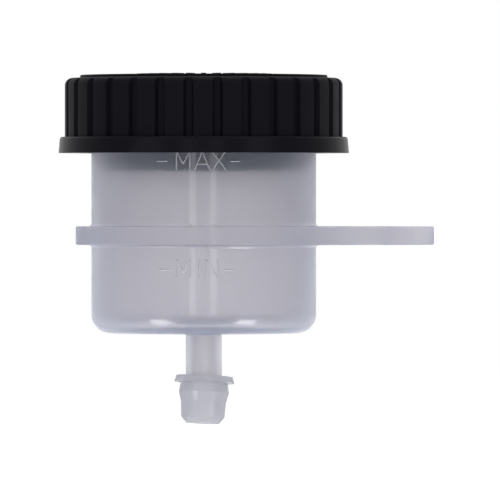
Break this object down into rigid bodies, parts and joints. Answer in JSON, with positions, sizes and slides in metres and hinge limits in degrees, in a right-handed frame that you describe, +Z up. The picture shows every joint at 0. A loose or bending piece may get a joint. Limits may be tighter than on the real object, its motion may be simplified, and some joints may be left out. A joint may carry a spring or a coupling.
{
  "type": "brake fluid reservoir",
  "caption": "Round milky fluid cup with a side mounting lug, a hose spigot underneath, a ribbed black screw cap over a rubber bellows, and a push-on dust cap.",
  "frame": {"origin": "centre of the lug's bolt hole, on the lug's underside", "axes": "+X from the cup's centre out along the lug, +Y to the back, +Z up along the bolt and the cup's axis; the MAX and MIN marks face -Y"},
  "size_m": [0.0835, 0.0646, 0.0777],
  "materials": {
    "milky_plastic": "natural, translucent, satin to gloss",
    "black_plastic": "fine matte moulding",
    "ring_plastic": "plain slippery plastic",
    "black_rubber": "soft matte rubber",
    "soft_milky_plastic": "soft, translucent"
  },
  "bodies": {
    "cup": {"cup": "milky_plastic"},
    "bellows": {"diaphragm": "black_rubber"},
    "slip_ring": {"thrust_ring": "ring_plastic"},
    "cap": {"screw_cap": "black_plastic"},
    "dust_cap": {"dust_cap": "soft_milky_plastic"}
  },
  "joints": [
    {"name": "cover_lift", "type": "slide", "parent": "cup", "child": "bellows", "axis": [0, 0, 1], "range_m": [0, 0.022]},
    {"name": "cap_rise", "type": "slide", "parent": "bellows", "child": "slip_ring", "axis": [0, 0, 1], "range_m": [0, 0.006]},
    {"name": "cap_turn", "type": "hinge", "parent": "slip_ring", "child": "cap", "pos_m": [-0.0422, 0, 0], "axis": [0, 0, 1], "range_deg": [0, 720]},
    {"name": "dust_cap_pull", "type": "slide", "parent": "cup", "child": "dust_cap", "axis": [-0.0452, -0.0836, -0.9955], "range_m": [0, 0.012]}
  ],
  "couplings": [
    {"joint": "cap_rise", "follows": "cap_turn", "m_per_rad": 0.00047746}
  ]
}
